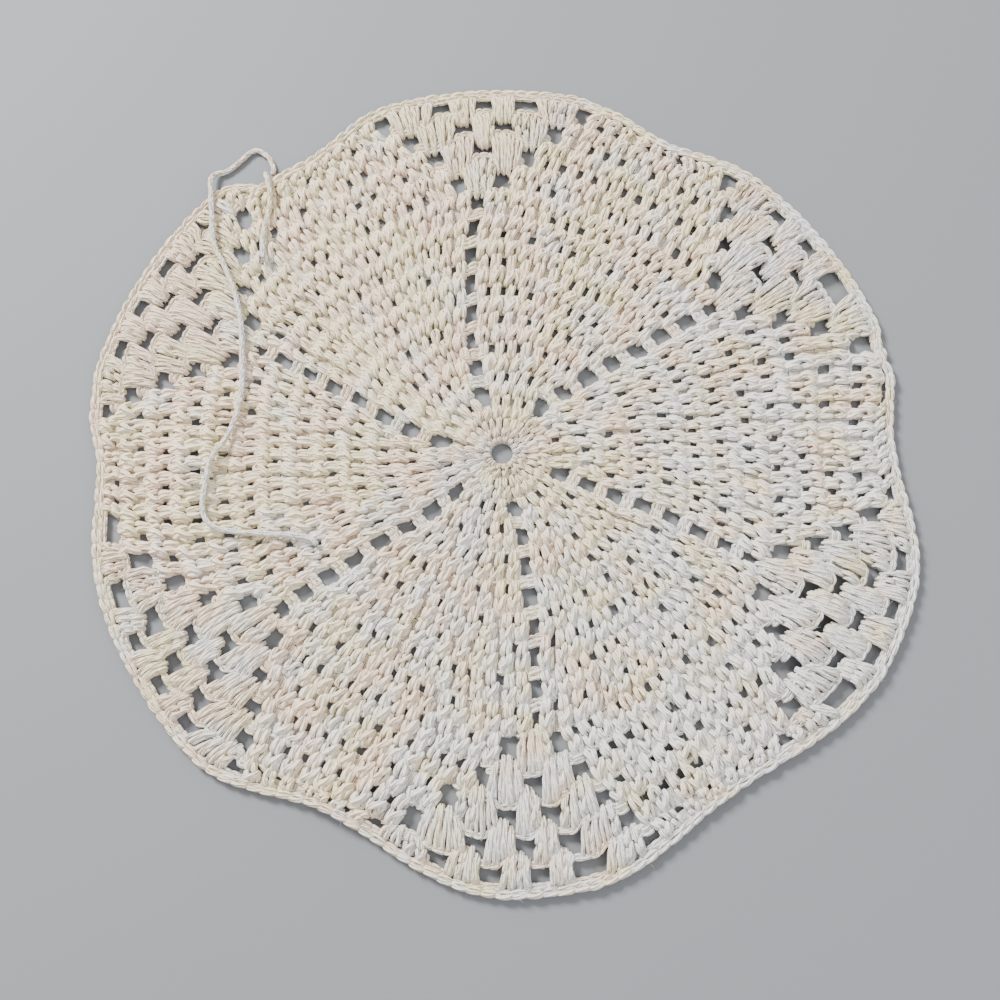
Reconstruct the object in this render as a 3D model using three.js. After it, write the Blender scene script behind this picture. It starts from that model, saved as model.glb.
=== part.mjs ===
// A round crocheted doily, worked from a centre ring in rounds, with the uncut yarn tail lying over it.
// Millimetres, +Z up, the table at z = 0, the middle of the doily's box over the origin.
// Every place is worked out about the centre ring, which lies a little off that middle.
// Round n lies between edge n-1 and edge n: edge 0 is the rim of the medallion, edge 13 the doily's rim.

import * as THREE from "three";

// Counts of the pattern
const ROUNDS = 13; // rounds outside the medallion, the edging last
const SPOKE_ROUNDS = 8; // rounds with a single gap on each spoke; a fan of shells opens above them

// The centre ring's place
const RING_AT = { x: 1.5, y: 0.6 };

// Medallion: the centre ring's hole, the edge of its first tier and its rim
const MEDALLION_RADII = [3.2, 8.6, 15.4];

// Heights of the worked sheet above its underside
const HEIGHT = {
  seam: 2.3, // the dip between two rounds
  ridge: 3.2, // along the middle of a round
  shell: 3.9, // on top of a fan's shell
  gapEdge: 2.7, // the yarn round a gap
  rim: 2.4, // the outer edge
};

// Yarn
const YARN_DIAMETER = 1.8;
const YARN_SIDES = 8;
const YARN_STEP = 2.6 * YARN_DIAMETER;
const COTTON = { color: 0xe4ddd0, roughness: 0.95, metalness: 0 };

// Counter-clockwise from +X, a spoke and then the sector that follows it.
// Along each direction edge n has the radius first + pitch * n + growth * n * n, and the last one is the rim.
// lost: 1 where the last full round was left off, so edge 12 lies just inside the rim.
// shelf: the share of the way to the sector's middle over which a fan keeps its full reach.
// at18 .. at120: the spoke's angle at those radii.
// near, far: width of the spoke's gaps in the first and the last of its rounds.
// left, right: how much wider the fan opens on each side with every row, in degrees.
const DIRECTIONS = [
  { angle: 33.5, first: 12.8, pitch: 8.79, growth: 0.029, rim: 124.0, lost: 1, shelf: 0.52,
    spoke: { at18: 48.5, at50: 38.6, at85: 35.8, at120: 34.8,
             near: 6.2, far: 5.0, left: 3.9, right: 4.3 } },
  { angle: 63.0, first: 16.3, pitch: 7.98, growth: 0.08, rim: 119.0, lost: 1 },
  { angle: 92.0, first: 12.5, pitch: 10.07, growth: -0.06, rim: 125.6, lost: 1, shelf: 0.48,
    spoke: { at18: 107.5, at50: 101.0, at85: 95.2, at120: 92.8,
             near: 5.8, far: 3.8, left: 3.8, right: 3.7 } },
  { angle: 123.0, first: 17.0, pitch: 8.08, growth: 0.041, rim: 118.0, lost: 1 },
  { angle: 154.0, first: 13.6, pitch: 9.57, growth: -0.069, rim: 127.3, lost: 0, shelf: 0.55,
    spoke: { at18: 169.5, at50: 158.0, at85: 155.5, at120: 154.2,
             near: 6.0, far: 4.4, left: 3.75, right: 4.7 } },
  { angle: 183.0, first: 17.7, pitch: 8.08, growth: 0.0, rim: 121.0, lost: 0 },
  { angle: 213.0, first: 12.6, pitch: 9.63, growth: -0.087, rim: 124.8, lost: 0, shelf: 0.4,
    spoke: { at18: 222.5, at50: 217.0, at85: 216.3, at120: 212.2,
             near: 4.5, far: 5.2, left: 3.6, right: 4.0 } },
  { angle: 245.0, first: 16.0, pitch: 8.04, growth: -0.017, rim: 115.0, lost: 0 },
  { angle: 276.0, first: 12.3, pitch: 9.45, growth: -0.065, rim: 126.8, lost: 0, shelf: 0.15,
    spoke: { at18: 282.5, at50: 279.6, at85: 276.2, at120: 272.0,
             near: 5.0, far: 4.2, left: 3.4, right: 3.9 } },
  { angle: 303.0, first: 16.4, pitch: 7.83, growth: 0.015, rim: 118.2, lost: 0 },
  { angle: 336.0, first: 13.2, pitch: 9.19, growth: -0.039, rim: 127.6, lost: 0, shelf: 0.14,
    spoke: { at18: 337.2, at50: 337.8, at85: 335.0, at120: 333.4,
             near: 4.8, far: 4.1, left: 3.9, right: 3.9 } },
  { angle: 361.5, first: 15.6, pitch: 8.17, growth: -0.008, rim: 118.0, lost: 0 },
];
const PATH_RADII = [18, 50, 85, 120];

// The rim's braid, and the small steps where a fan's rim meets a sector's
const BRAID = 2.7;
const NOTCHES = [
  { angle: 15.5, depth: 2.2, halfWidth: 4 },
  { angle: 75.0, depth: 1.0, halfWidth: 4 },
  { angle: 130.4, depth: 3.6, halfWidth: 5.5 },
  { angle: 171.5, depth: 1.2, halfWidth: 4 },
];

// Gaps. A fan's row j has j + 1 gaps: tall ones at its two sides, flat ones between its shells.
const SPOKE_GAP_SHARE = 0.54; // a spoke gap's height as a share of its round's
const FAN_FIRST_OPENING = 4.6; // half the angle between the two gaps of the first row
const SIDE_SPACING = 1.4; // spacing beside a side gap against that between inner ones
const SIDE_GAP = { width: 4.8, height: 5.8, shift: -1.3 };
const INNER_GAP = { width: 6.6, height: 3.6, shift: 0.8 };
const GAP_MARGIN = 0.8; // least yarn between a gap and the edges of its round
const SMALLEST_CUT = 4; // a gap no larger than this stays closed
// Gaps that were pulled wider or flatter than the rule, counted counter-clockwise from 0; width 0 is closed
const PULLED_GAPS = [
  { fan: 0, row: 4, gap: 1, width: 11.5, height: 8.0 },
  { fan: 1, row: 4, gap: 1, width: 8.5, height: 4.0 },
  { fan: 2, row: 4, gap: 1, width: 9.0, height: 2.6 },
  { fan: 2, row: 4, gap: 2, width: 8.0, height: 2.4 },
  { fan: 2, row: 5, gap: 0, width: 0, height: 0 },
  { fan: 2, row: 5, gap: 1, width: 0, height: 0 },
  { fan: 3, row: 4, gap: 1, width: 9.0, height: 4.5 },
  { fan: 3, row: 5, gap: 0, width: 8.0, height: 6.0 },
  { fan: 3, row: 5, gap: 1, width: 9.0, height: 4.5 },
  { fan: 4, row: 5, gap: 4, width: 11.0, height: 4.4 },
  { fan: 5, row: 3, gap: 0, width: 8.0, height: 6.0 },
  { fan: 5, row: 5, gap: 1, width: 11.0, height: 5.0 },
];

// Soft waves where the work doesn't lie quite flat: a long low hump centred at x, y
const WAVES = [
  { x: 88, y: -52, height: 2.6, halfLength: 30, halfWidth: 15, turn: 68 },
  { x: 74, y: 66, height: 2.0, halfLength: 26, halfWidth: 14, turn: -38 },
  { x: -94, y: -8, height: 2.4, halfLength: 34, halfWidth: 14, turn: 84 },
  { x: -4, y: 74, height: 1.8, halfLength: 40, halfWidth: 12, turn: 90 },
  { x: -38, y: -98, height: 2.2, halfLength: 26, halfWidth: 13, turn: 24 },
  { x: 44, y: -92, height: 1.6, halfLength: 24, halfWidth: 12, turn: -32 },
];

// The mesh: spacing of its points along an edge or a ridge, and along the rim
const POINT_SPACING = 10.5;
const RIM_SPACING = 6.5;
const FEWEST_POINTS = 24;
const FOLD_COST = 1e4; // far longer than any diagonal

// The uncut yarn's route, x, y and z about the centre ring: out of the rim at the upper left, round over the
// table, back over the rim, down across the doily and in towards its middle
const TAIL_ROUTE = [
  [-73.9, 94.6, 1.3], [-73.8, 97.2, 1.0], [-75.2, 100.4, 0.95], [-77.6, 102.8, 0.95], [-79.9, 103.7, 0.95],
  [-82.1, 102.5, 0.95], [-84.5, 99.9, 0.95], [-86.7, 97.7, 0.95], [-89.4, 95.6, 1.0], [-92.0, 94.8, 1.6],
  [-93.3, 91.8, 3.0], [-92.6, 86.7, 4.4], [-91.7, 79.7, 5.0], [-90.3, 68.5, 5.1], [-86.7, 60.9, 4.95],
  [-83.0, 52.3, 4.5], [-80.2, 41.2, 4.6], [-79.2, 29.9, 4.5], [-78.6, 20.5, 4.6], [-79.6, 12.1, 4.6],
  [-82.1, 4.2, 4.8], [-86.1, -3.0, 5.65], [-87.5, -12.0, 5.35], [-87.6, -19.0, 4.9], [-84.1, -23.6, 4.7],
  [-76.7, -25.1, 4.5], [-67.0, -25.7, 4.6], [-58.6, -26.3, 4.5], [-55.3, -27.5, 4.6], [-53.8, -29.0, 4.4],
];

// The short end of the yarn beside it, which runs in from just past the rim
const END_ROUTE = [
  [-75.9, 94.4, 3.0], [-74.9, 91.3, 4.4], [-74.0, 87.9, 4.7], [-73.6, 84.4, 4.5], [-73.7, 81.3, 4.4],
  [-74.1, 77.5, 4.5], [-74.9, 73.4, 4.6], [-75.2, 68.4, 4.6], [-74.5, 63.2, 4.6],
];

const radians = THREE.MathUtils.degToRad;
const degrees = THREE.MathUtils.radToDeg;
const mix = THREE.MathUtils.lerp;

function turnBetween(from, to) {
  return (((to - from) % 360) + 360) % 360;
}

// The angle between two directions, whichever way round is the shorter
function turnApart(one, other) {
  return Math.abs(turnBetween(one, other + 180) - 180);
}

// A hump that is 1 at distance 0 and falls smoothly to 0 at distance 1
function hump(distance) {
  return distance >= 1 ? 0 : 0.5 * (1 + Math.cos(Math.PI * distance));
}

// Radius of edge n along one of the twelve directions
function directionRadius(direction, n) {
  if (n === ROUNDS) {
    return direction.rim;
  }
  if (n === ROUNDS - 1 && direction.lost) {
    return direction.rim - BRAID;
  }
  return direction.first + direction.pitch * n + direction.growth * n * n;
}

// The spoke and the sector that an angle lies between, and how far it is from the one to the other
function neighbours(angle) {
  for (let k = 0; k < DIRECTIONS.length; k += 1) {
    const here = DIRECTIONS[k];
    const next = DIRECTIONS[(k + 1) % DIRECTIONS.length];
    const share = turnBetween(here.angle, angle) / turnBetween(here.angle, next.angle);
    if (share <= 1) {
      const fromSpoke = Boolean(here.spoke);
      return {
        spoke: fromSpoke ? here : next,
        sector: fromSpoke ? next : here,
        share: fromSpoke ? share : 1 - share,
      };
    }
  }
  throw new Error(`no direction holds the angle ${angle}`);
}

// Radius of edge n at any angle; edges -2, -1 and 0 are the medallion's circles
function edgeRadius(n, angle) {
  if (n <= 0) {
    return MEDALLION_RADII[n + 2];
  }
  const { spoke, sector, share } = neighbours(angle);
  const shelf = spoke.shelf * THREE.MathUtils.clamp((n - SPOKE_ROUNDS) / 4, 0, 1);
  const weight = hump(Math.max(0, (share - shelf) / (1 - shelf)));
  let radius = mix(directionRadius(sector, n), directionRadius(spoke, n), weight);
  if (n >= ROUNDS - 1) {
    const depthShare = n === ROUNDS ? 1 : 0.5;
    for (const notch of NOTCHES) {
      radius -= notch.depth * depthShare * hump(turnApart(notch.angle, angle) / notch.halfWidth);
    }
  }
  if (n < ROUNDS) {
    radius += 0.3 * Math.sin(radians(3 * angle) + 1.7 * n) + 0.25 * Math.sin(radians(7 * angle) + 2.9 * n);
  }
  return radius;
}

// A spoke's angle at a radius: the cubic through its four stated angles
function spokeAngle(spoke, radius) {
  const angles = [spoke.at18, spoke.at50, spoke.at85, spoke.at120];
  let sum = 0;
  for (let i = 0; i < angles.length; i += 1) {
    let weight = 1;
    for (let j = 0; j < angles.length; j += 1) {
      if (j !== i) {
        weight *= (radius - PATH_RADII[j]) / (PATH_RADII[i] - PATH_RADII[j]);
      }
    }
    sum += weight * angles[i];
  }
  return sum;
}

function spokeGap(direction, round) {
  const middle = 0.5 * (directionRadius(direction, round - 1) + directionRadius(direction, round));
  const angle = spokeAngle(direction.spoke, middle);
  const inner = edgeRadius(round - 1, angle);
  const outer = edgeRadius(round, angle);
  const width = mix(direction.spoke.near, direction.spoke.far, (round - 1) / (SPOKE_ROUNDS - 1));
  const height = SPOKE_GAP_SHARE * (outer - inner);
  return { round, angle, radius: 0.5 * (inner + outer), width, height, shell: null };
}

// Places of a fan row's gaps, from -1 at its clockwise side to 1
function gapPlaces(count) {
  if (count === 2) {
    return [-1, 1];
  }
  const step = 2 / (count - 3 + 2 * SIDE_SPACING);
  const places = [-1];
  for (let g = 1; g < count - 1; g += 1) {
    places.push(-1 + step * (SIDE_SPACING + g - 1));
  }
  return [...places, 1];
}

function fanGaps(direction, fan, row) {
  const round = SPOKE_ROUNDS + row;
  const middle = 0.5 * (directionRadius(direction, round - 1) + directionRadius(direction, round));
  const centre = spokeAngle(direction.spoke, middle);
  const angles = gapPlaces(row + 1).map((place) => {
    const opening = place < 0 ? direction.spoke.right : direction.spoke.left;
    return centre + place * (FAN_FIRST_OPENING + opening * (row - 1));
  });
  return angles.map((angle, gap) => {
    const shape = gap === 0 || gap === row ? SIDE_GAP : INNER_GAP;
    const pulled = PULLED_GAPS.find((one) => one.fan === fan && one.row === row && one.gap === gap);
    const width = pulled ? pulled.width : shape.width;
    const low = edgeRadius(round - 1, angle) + GAP_MARGIN;
    const high = edgeRadius(round, angle) - GAP_MARGIN - (round === ROUNDS ? BRAID : 0);
    const height = Math.min(pulled ? pulled.height : shape.height, high - low);
    const middleOfGap = 0.5 * (low + high) + shape.shift;
    const radius = THREE.MathUtils.clamp(middleOfGap, low + height / 2, high - height / 2);
    const shell = gap > 0 ? 0.5 * (angles[gap - 1] + angle) : null;
    return { round, angle, radius, width, height, shell };
  });
}

function allGaps() {
  const gaps = [];
  const spokes = DIRECTIONS.filter((direction) => direction.spoke);
  spokes.forEach((direction, fan) => {
    for (let round = 1; round <= SPOKE_ROUNDS; round += 1) {
      gaps.push(spokeGap(direction, round));
    }
    for (let row = 1; row <= ROUNDS - SPOKE_ROUNDS - direction.lost; row += 1) {
      gaps.push(...fanGaps(direction, fan, row));
    }
  });
  return gaps;
}

// How far the sheet is lifted off the table at a place
function lift(x, y) {
  let height = 0;
  for (const wave of WAVES) {
    const turn = radians(wave.turn);
    const along = (x - wave.x) * Math.cos(turn) + (y - wave.y) * Math.sin(turn);
    const across = (y - wave.y) * Math.cos(turn) - (x - wave.x) * Math.sin(turn);
    height += wave.height * hump(Math.hypot(along / wave.halfLength, across / wave.halfWidth));
  }
  return height;
}

// What a triangle of the plan adds to a band's cost: nothing where its corners turn counter-clockwise
function foldCost(a, b, c) {
  const turn = b.place.clone().sub(a.place).cross(c.place.clone().sub(a.place));
  return turn > 0 ? 0 : FOLD_COST;
}

// The way round a band, a step along its inner or its outer line at a time, that has the shortest diagonals
// and folds no triangle over: true for each step along the inner line
function shortestWay(inner, outer) {
  const width = outer.length + 1;
  const cost = [];
  const along = [];
  for (let i = 0; i <= inner.length; i += 1) {
    for (let j = 0; j <= outer.length; j += 1) {
      const a = inner[i % inner.length];
      const b = outer[j % outer.length];
      const viaInner = i > 0 ? cost[(i - 1) * width + j] + foldCost(inner[i - 1], b, a) : Infinity;
      const viaOuter = j > 0 ? cost[i * width + j - 1] + foldCost(a, outer[j - 1], b) : Infinity;
      const shortest = i + j > 0 ? Math.min(viaInner, viaOuter) : 0;
      cost.push(shortest + a.place.distanceTo(b.place));
      along.push(viaInner < viaOuter);
    }
  }
  const steps = [];
  for (let here = cost.length - 1; here > 0; here -= steps[0] ? width : 1) {
    steps.unshift(along[here]);
  }
  return steps;
}

// A mesh under construction: every point of the plan is a top and a bottom vertex
class Sheet {
  constructor() {
    this.positions = [];
    this.triangles = [];
  }

  point(angle, radius, thickness) {
    const x = radius * Math.cos(radians(angle));
    const y = radius * Math.sin(radians(angle));
    const base = lift(x, y);
    this.positions.push(x, y, base + thickness, x, y, base);
    const bottom = this.positions.length / 3 - 1;
    return { angle, place: new THREE.Vector2(x, y), top: bottom - 1, bottom };
  }

  // One triangle of the plan, counter-clockwise from above, on both faces
  face(a, b, c) {
    this.triangles.push(a.top, b.top, c.top, c.bottom, b.bottom, a.bottom);
  }

  // Fills the band between two closed lines that go round counter-clockwise and start side by side
  band(inner, outer) {
    let i = 0;
    let j = 0;
    for (const alongInner of shortestWay(inner, outer)) {
      const a = inner[i % inner.length];
      const b = outer[j % outer.length];
      if (alongInner) {
        i += 1;
        this.face(a, b, inner[i % inner.length]);
      } else {
        j += 1;
        this.face(a, b, outer[j % outer.length]);
      }
    }
  }

  // The upright wall along a closed line that has the solid on its left
  wall(line) {
    line.forEach((here, k) => {
      const next = line[(k + 1) % line.length];
      this.triangles.push(here.bottom, next.bottom, next.top, here.bottom, next.top, here.top);
    });
  }

  geometry() {
    const geometry = new THREE.BufferGeometry();
    geometry.setAttribute("position", new THREE.Float32BufferAttribute(this.positions, 3));
    geometry.setIndex(this.triangles);
    geometry.computeVertexNormals();
    return geometry;
  }
}

// Even angles for a line of about this radius
function evenAngles(radius, spacing) {
  const count = Math.max(FEWEST_POINTS, Math.round((2 * Math.PI * radius) / spacing));
  return Array.from({ length: count }, (_, k) => (360 * k) / count);
}

function edgeLine(sheet, n) {
  const spacing = n === ROUNDS ? RIM_SPACING : POINT_SPACING;
  const thickness = n === ROUNDS ? HEIGHT.rim : HEIGHT.seam;
  const angles = evenAngles(edgeRadius(n, 0), spacing);
  return angles.map((angle) => sheet.point(angle, edgeRadius(n, angle), thickness));
}

// A gap's outline: its two ends, and the points of its near and far sides
function cutGap(sheet, gap) {
  const halfTurn = degrees(gap.width / 2 / gap.radius);
  const at = (turn, rise) =>
    sheet.point(gap.angle + turn * halfTurn, gap.radius + (rise * gap.height) / 2, HEIGHT.gapEdge);
  const first = at(-1, 0);
  const last = at(1, 0);
  const near = [at(-0.5, -1), at(0.5, -1)];
  const far = [at(-0.5, 1), at(0.5, 1)];
  sheet.wall([first, ...near, last, ...far.slice().reverse()]);
  return { first, last, near, far };
}

// The ridge along the middle of a round, as the two lines that its gaps part it into
function ridgeLines(sheet, round, gaps) {
  const middle = (angle) => 0.5 * (edgeRadius(round - 1, angle) + edgeRadius(round, angle));
  const items = [];
  const taken = [];
  for (const gap of gaps) {
    if (Math.max(gap.width, gap.height) > SMALLEST_CUT) {
      taken.push({ angle: gap.angle, halfTurn: degrees(gap.width / 2 / gap.radius) });
      items.push({ angle: gap.angle, ...cutGap(sheet, gap) });
    }
    if (gap.shell !== null) {
      const top = sheet.point(gap.shell, middle(gap.shell), HEIGHT.shell);
      taken.push({ angle: gap.shell, halfTurn: 0 });
      items.push({ angle: gap.shell, first: top, near: [], far: [] });
    }
  }
  const clear = degrees((0.35 * POINT_SPACING) / middle(0));
  for (const angle of evenAngles(middle(0), POINT_SPACING)) {
    const free = taken.every((one) => turnApart(one.angle, angle) > one.halfTurn + clear);
    if (free) {
      items.push({ angle, first: sheet.point(angle, middle(angle), HEIGHT.ridge), near: [], far: [] });
    }
  }
  items.sort((one, other) => one.angle - other.angle);
  const along = (item, name) => [item.first, ...item[name], ...(item.last ? [item.last] : [])];
  const side = (name) => items.flatMap((item) => along(item, name));
  return { near: side("near"), far: side("far") };
}

function doilyGeometry() {
  const sheet = new Sheet();
  const gaps = allGaps();
  let inner = edgeLine(sheet, -2);
  sheet.wall(inner.slice().reverse());
  for (let round = -1; round <= ROUNDS; round += 1) {
    const ridge = ridgeLines(sheet, round, gaps.filter((gap) => gap.round === round));
    const outer = edgeLine(sheet, round);
    sheet.band(inner, ridge.near);
    sheet.band(ridge.far, outer);
    inner = outer;
  }
  sheet.wall(inner);
  return sheet.geometry();
}

// A yarn end as a round tube along its route
function yarnGeometry(route) {
  const points = route.map((point) => new THREE.Vector3(...point));
  const path = new THREE.CatmullRomCurve3(points, false, "centripetal");
  const section = new THREE.Shape();
  section.absarc(0, 0, YARN_DIAMETER / 2, 0, 2 * Math.PI, false);
  const steps = Math.round(path.getLength() / YARN_STEP);
  const options = { steps, bevelEnabled: false, extrudePath: path, curveSegments: YARN_SIDES };
  return new THREE.ExtrudeGeometry(section, options);
}

function piece(name, geometry) {
  const mesh = new THREE.Mesh(geometry, new THREE.MeshStandardMaterial(COTTON));
  mesh.name = name;
  return mesh;
}

const doily = new THREE.Group();
doily.add(piece("doily", doilyGeometry()));
doily.add(piece("yarn_tail", yarnGeometry(TAIL_ROUTE)));
doily.add(piece("yarn_end", yarnGeometry(END_ROUTE)));
doily.position.set(RING_AT.x, RING_AT.y, 0);

export default doily;
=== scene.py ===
"""A crocheted cotton doily, worked in rounds from a centre ring: six spokes of gaps open into fans of shells.

Every stitch is modelled as its strands of yarn. Plan sizes are in millimetres about the centre ring, angles
in degrees counter-clockwise from +X, and a finished mesh is in metres in the frame's own place.
"""

import math
from collections import namedtuple

import bpy
import numpy as np
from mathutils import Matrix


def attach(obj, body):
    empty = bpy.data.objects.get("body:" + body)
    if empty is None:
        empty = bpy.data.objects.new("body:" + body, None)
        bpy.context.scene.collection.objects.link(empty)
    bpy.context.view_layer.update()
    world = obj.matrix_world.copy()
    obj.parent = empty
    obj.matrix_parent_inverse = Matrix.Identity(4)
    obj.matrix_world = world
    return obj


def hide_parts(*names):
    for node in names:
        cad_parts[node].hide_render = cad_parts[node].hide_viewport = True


bl_info = {
    "name": "Crocheted doily",
    "version": (1, 0, 0),
    "blender": (4, 5, 0),
    "location": "3D View > Sidebar > Doily",
    "description": "Builds a crocheted cotton doily stitch by stitch, with its yarn tail",
    "category": "Add Mesh",
}

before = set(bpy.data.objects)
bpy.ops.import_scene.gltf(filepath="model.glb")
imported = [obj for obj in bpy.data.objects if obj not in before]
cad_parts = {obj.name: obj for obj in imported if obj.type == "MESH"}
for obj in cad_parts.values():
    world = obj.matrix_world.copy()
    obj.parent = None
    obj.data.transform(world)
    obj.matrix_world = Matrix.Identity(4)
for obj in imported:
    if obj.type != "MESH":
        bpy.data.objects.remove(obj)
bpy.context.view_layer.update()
MM = 0.001
UP = np.array((0.0, 0.0, 1.0))
ASLANT = (0.13, 0.21, 1.0)  # a direction that no strand runs along

# The centre ring's place in the frame
RING_AT = (1.5, 0.6)

# Counts of the pattern. Round n lies between edge n - 1 and edge n; edges -2, -1 and 0 are the medallion's.
ROUNDS = 13
SPOKE_ROUNDS = 8
FIRST_EDGE = -2
MEDALLION_RADII = (3.2, 8.6, 15.4)
Tier = namedtuple("Tier", "round stitches yarn size")
TIERS = (Tier(-1, 16, 0.72, 0.72), Tier(0, 28, 0.92, 0.85))
SECTOR_STITCHES = (4, 6, 8, 10, 12, 14, 16, 17, 15, 13, 11, 9)
SHELL_STITCHES = 4
SHELL_YARN = 0.94  # its thickness in a shell
STITCH_WIDTH = 4.9  # in the last round, where the stitches aren't counted

# Counter-clockwise, a spoke and then the sector that follows it. The radius of edge n is
# first + pitch * n + growth * n * n, and the last one's is rim; where lost is 1, the last round is the braid
# alone. Past the spoke's rounds an edge keeps the spoke's radius over the share shelf of the way to the
# sector. A spoke has its angle at four radii, its first and last gaps' widths, and the degrees by which each
# row of its fan opens.
Direction = namedtuple("Direction", "angle first pitch growth rim lost shelf spoke")
Spoke = namedtuple("Spoke", "at18 at50 at85 at120 near far left right")
DIRECTIONS = (
    Direction(33.5, 12.8, 8.79, 0.029, 124, 1, 0.52, Spoke(48.5, 38.6, 35.8, 34.8, 6.2, 5, 3.9, 4.3)),
    Direction(63, 16.3, 7.98, 0.080, 119, 1, 0, None),
    Direction(92, 12.5, 10.07, -0.060, 125.6, 1, 0.48, Spoke(107.5, 101, 95.2, 92.8, 5.8, 3.8, 3.8, 3.7)),
    Direction(123, 17, 8.08, 0.041, 118, 1, 0, None),
    Direction(154, 13.6, 9.57, -0.069, 127.3, 0, 0.55, Spoke(169.5, 158, 155.5, 154.2, 6, 4.4, 3.75, 4.7)),
    Direction(183, 17.7, 8.08, 0, 121, 0, 0, None),
    Direction(213, 12.6, 9.63, -0.087, 124.8, 0, 0.40, Spoke(222.5, 217, 216.3, 212.2, 4.5, 5.2, 3.6, 4)),
    Direction(245, 16, 8.04, -0.017, 115, 0, 0, None),
    Direction(276, 12.3, 9.45, -0.065, 126.8, 0, 0.15, Spoke(282.5, 279.6, 276.2, 272, 5, 4.2, 3.4, 3.9)),
    Direction(303, 16.4, 7.83, 0.015, 118.2, 0, 0, None),
    Direction(336, 13.2, 9.19, -0.039, 127.6, 0, 0.14, Spoke(337.2, 337.8, 335, 333.4, 4.8, 4.1, 3.9, 3.9)),
    Direction(361.5, 15.6, 8.17, -0.008, 118, 0, 0, None),
)
SPOKES = [direction for direction in DIRECTIONS if direction.spoke]
PATH_RADII = (18, 50, 85, 120)

# The rim's braid, and the small steps where a fan's rim meets a sector's
BRAID = 2.7
Notch = namedtuple("Notch", "angle depth half_width")
NOTCHES = (Notch(15.5, 2.2, 4), Notch(75.0, 1.0, 4), Notch(130.4, 3.6, 5.5), Notch(171.5, 1.2, 4))

# Gaps: a spoke has one in each of its rounds; a fan's row j has j + 1, tall ones at its two sides and flat
# ones between its shells
Gap = namedtuple("Gap", "round row index inner angle radius width height")
Shape = namedtuple("Shape", "width height shift")
SPOKE_GAP_SHARE = 0.54
FAN_FIRST_OPENING = 4.6
SIDE_SPACING = 1.4
SIDE_GAP = Shape(4.8, 5.8, -1.3)
INNER_GAP = Shape(6.6, 3.6, 0.8)
GAP_MARGIN = 0.8

# The gaps that are pulled out of shape: fan, row and gap, and their own width and height
PULLED_GAPS = {
    (0, 4, 1): (11.5, 8), (1, 4, 1): (8.5, 4), (2, 4, 1): (9, 2.6), (2, 4, 2): (8, 2.4), (2, 5, 0): (0, 0),
    (2, 5, 1): (0, 0), (3, 4, 1): (9, 4.5), (3, 5, 0): (8, 6), (3, 5, 1): (9, 4.5), (4, 5, 4): (11, 4.4),
    (5, 3, 0): (8, 6), (5, 5, 1): (11, 5),
}

# How far the stitches beside each spoke's gaps leave them open, from the medallion outwards, and how far the
# gaps wander from the spoke's line
SPOKE_OPENNESS = (
    (1.0, 1.0, 1.1, 1.05, 1.05, 1.0, 0.9, 0.85),
    (0.95, 0.85, 0.7, 0.75, 0.65, 0.75, 0.9, 0.9),
    (0.8, 0.95, 0.75, 0.75, 0.75, 0.5, 0.7, 0.6),
    (0.85, 1.1, 0.65, 0.8, 0.85, 0.95, 0.85, 0.85),
    (1.0, 0.7, 0.7, 0.9, 0.7, 0.4, 0.75, 0.55),
    (1.0, 0.8, 0.85, 0.8, 0.75, 0.6, 0.5, 0.5),
)
SPOKE_WANDER = 0.5

# The chain along a round's top: how far it stays from a gap, how level it runs past one, and the share of the
# way that it is drawn in over its round's own gaps
CHAIN_CLEAR = 0.75
LEVEL_SHARE = 0.3
FALL_OVER = 2.6
FALL_UNDER = 3.2
FAN_DRAW = 0.85
SPOKE_DRAW = 0.5

# Places where the stitches of a sector stand apart and leave a wider hole
Eyelet = namedtuple("Eyelet", "angle radius width")
EYELETS = [Eyelet(*row) for row in (
    (77, 72, 2.2), (64.7, 85, 2.2), (60.7, 85, 2), (54.2, 86, 2), (50.7, 86, 1.8), (299, 89, 2.2),
    (302, 88, 2.2), (300.3, 104, 2.2), (304, 103, 2), (300.7, 97, 2), (304, 58, 2), (120, 24.3, 1.4),
    (60.3, 23.9, 1.4), (53.9, 32.1, 1.2), (151.7, 25.3, 1.4), (179.4, 25.1, 1.3), (23.7, 16.8, 1.1),
    (3.6, 24.3, 1.2), (349.7, 24.8, 1.2), (324.7, 25.3, 1.3), (269.3, 24.4, 1.3), (260.5, 16.6, 1),
    (220.8, 36.4, 1.3), (211.7, 34.3, 1.3), (206.1, 17.9, 1), (191.8, 18.6, 1),
)]
EYELET_REACH = 2.2

# Soft waves where the work doesn't lie quite flat
Wave = namedtuple("Wave", "x y height half_length half_width turn")
WAVES = (
    Wave(88, -52, 2.6, 30, 15, 68),
    Wave(74, 66, 2.0, 26, 14, -38),
    Wave(-94, -8, 2.4, 34, 14, 84),
    Wave(-4, 74, 1.8, 40, 12, 90),
    Wave(-38, -98, 2.2, 26, 13, 24),
    Wave(44, -92, 1.6, 24, 12, -32),
)

# A side of a run of stitches has an angle at each of these shares of the round's height
SHARES = (-0.2, 0.0, 0.3, 0.7, 1.0, 1.2)
FAN_LEAN = (-0.3, -0.3, -0.1, 0.05, 0.06, 0.06)  # how far a fan's side has opened at each of them
SPOKE_FOOT = 1.1  # from the middle of the gap below to the foot of the stitches beside a spoke
SHELL_FOOT = 3.0  # the same for a shell, which stands in the gap below
FOOT_OUTSIDE = 4  # how far outside the middle of the gap below both are measured
SPOKE_TOP = 0.7  # how far from a gap's middle a run ends over it, as a share of its half width, by a spoke
SHELL_TOP = 0.62  # the same for a shell
SHELL_EDGE = 0.88  # and beside the gap
SHELL_PUFF = 0.55  # how much higher a shell stands
BEND_REACH = 1.2  # stitches over which a run takes up the bend round a gap

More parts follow.
